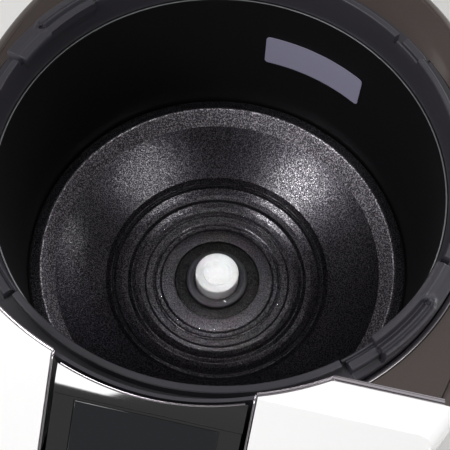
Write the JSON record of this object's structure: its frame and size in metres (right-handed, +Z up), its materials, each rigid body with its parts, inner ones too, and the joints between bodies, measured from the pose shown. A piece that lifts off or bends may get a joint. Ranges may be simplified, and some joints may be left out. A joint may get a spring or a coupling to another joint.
{
  "type": "multicooker",
  "caption": "Oval countertop induction multicooker with hinged lid open, deep round cooking well, ridged coated heating bowl, sprung centre sensor, sloping control panel.",
  "frame": {"origin": "On the axis of the cooking well, in the flat underside of the base pan, 5 mm above the worktop under the feet.", "axes": "+Z up, -Y towards the control panel and the user, +X to the right as seen by a user who faces the panel."},
  "size_m": [0.302, 0.4427, 0.5095],
  "materials": {
    "bowl_coating": "fine-grained speckled black non-stick coating on aluminium",
    "liner_black": "deep matte black",
    "satin_black": "satin black moulding",
    "brown_metal": "dark brown-grey metallic lacquer",
    "chrome": "bright chrome trim",
    "white_gloss": "white gloss moulding",
    "panel_gloss": "piano black gloss",
    "display_glass": "dark display window, blank",
    "key_grey": "satin dark grey, blank",
    "sensor_aluminium": "satin spun aluminium",
    "rubber": "matte black rubber",
    "steel": "brushed stainless steel",
    "copper": "enamelled copper winding",
    "ferrite": "dark sintered ceramic",
    "board": "green glass-fibre circuit board",
    "aluminium": "extruded aluminium",
    "silicone": "translucent white silicone",
    "bare_plate": "blank lavender-grey plate"
  },
  "bodies": {
    "base": {"heating_bowl": "bowl_coating", "well_liner": "liner_black", "sensor_cup": "liner_black", "coil_carrier": "liner_black", "fan_frame": "liner_black", "base_pan": "satin_black", "collar": "satin_black", "hinge_bracket": "satin_black", "power_inlet": "satin_black", "body_shell": "brown_metal", "top_deck": "brown_metal", "deck_ring": "chrome", "fascia_trim_left": "chrome", "fascia_trim_right": "chrome", "panel_bezel": "chrome", "front_fascia": "white_gloss", "control_panel": "panel_gloss", "display_window": "display_glass", "foot_front_left": "rubber", "foot_front_right": "rubber", "foot_rear_right": "rubber", "foot_rear_left": "rubber", "seat_ring": "rubber", "base_screw_1": "steel", "base_screw_2": "steel", "base_screw_3": "steel", "base_screw_4": "steel", "sensor_spring": "steel", "hinge_pin": "steel", "hinge_spring": "steel", "coil_inner": "copper", "coil_outer": "copper", "ferrite_star": "ferrite", "capacitor": "ferrite", "power_board": "board", "control_board": "board", "heat_sink": "aluminium", "label_plate": "bare_plate"},
    "lid": {"lid_shell": "brown_metal", "lid_liner": "satin_black", "lid_hinge_arm": "satin_black", "inner_lid": "steel", "lid_gasket": "silicone", "vent_seat": "steel", "latch_pin": "steel", "latch_spring": "steel"},
    "lock": {"lock_ring": "steel", "lock_spindle": "steel", "lock_knob": "satin_black"},
    "vent_weight_body": {"vent_weight": "satin_black"},
    "float_pin_body": {"float_pin": "silicone"},
    "open_button_body": {"open_button": "satin_black"},
    "latch": {"latch_hook": "steel"},
    "sensor": {"sensor_cap": "sensor_aluminium"},
    "fan": {"fan_rotor": "liner_black"},
    "key_menu_body": {"key_menu": "key_grey"},
    "key_time_body": {"key_time": "key_grey"},
    "key_start_body": {"key_start": "key_grey"},
    "key_cancel_body": {"key_cancel": "key_grey"}
  },
  "joints": [
    {"name": "lid_hinge", "type": "hinge", "parent": "base", "child": "lid", "pos_m": [0, 0.148, 0.2206], "axis": [1, 0, 0], "range_deg": [0, 100]},
    {"name": "lock_turn", "type": "hinge", "parent": "lid", "child": "lock", "pos_m": [0, 0.1735, 0.36639], "axis": [0, 0.9848, -0.1736], "range_deg": [0, 15]},
    {"name": "vent_lift", "type": "slide", "parent": "lid", "child": "vent_weight_body", "axis": [0, 0.9848, -0.1736], "range_m": [0, 0.003]},
    {"name": "float_rise", "type": "slide", "parent": "lid", "child": "float_pin_body", "axis": [0, 0.9848, -0.1736], "range_m": [0, 0.004]},
    {"name": "button_press", "type": "slide", "parent": "lid", "child": "open_button_body", "axis": [0, -0.9848, 0.1736], "range_m": [0, 0.002], "stiffness_N_per_m": 400, "springref_m": -0.002},
    {"name": "latch_tip", "type": "hinge", "parent": "lid", "child": "latch", "pos_m": [0, 0.20691, 0.45798], "axis": [1, 0, 0], "range_deg": [0, 6]},
    {"name": "sensor_press", "type": "slide", "parent": "base", "child": "sensor", "axis": [0, 0, -1], "range_m": [0, 0.004], "stiffness_N_per_m": 350, "springref_m": -0.003, "deforming": ["sensor_spring"]},
    {"name": "fan_spin", "type": "hinge", "parent": "base", "child": "fan", "pos_m": [0, 0.075, 0.012], "axis": [0, 0, 1], "continuous": true},
    {"name": "key_menu_press", "type": "slide", "parent": "base", "child": "key_menu_body", "axis": [0, 0.6691, -0.7431], "range_m": [0, 0.0008], "stiffness_N_per_m": 600, "springref_m": -0.0008},
    {"name": "key_time_press", "type": "slide", "parent": "base", "child": "key_time_body", "axis": [0, 0.6691, -0.7431], "range_m": [0, 0.0008], "stiffness_N_per_m": 600, "springref_m": -0.0008},
    {"name": "key_start_press", "type": "slide", "parent": "base", "child": "key_start_body", "axis": [0, 0.6691, -0.7431], "range_m": [0, 0.0008], "stiffness_N_per_m": 600, "springref_m": -0.0008},
    {"name": "key_cancel_press", "type": "slide", "parent": "base", "child": "key_cancel_body", "axis": [0, 0.6691, -0.7431], "range_m": [0, 0.0008], "stiffness_N_per_m": 600, "springref_m": -0.0008}
  ],
  "couplings": [
    {"joint": "latch_tip", "follows": "button_press", "rad_per_m": 52.3}
  ]
}
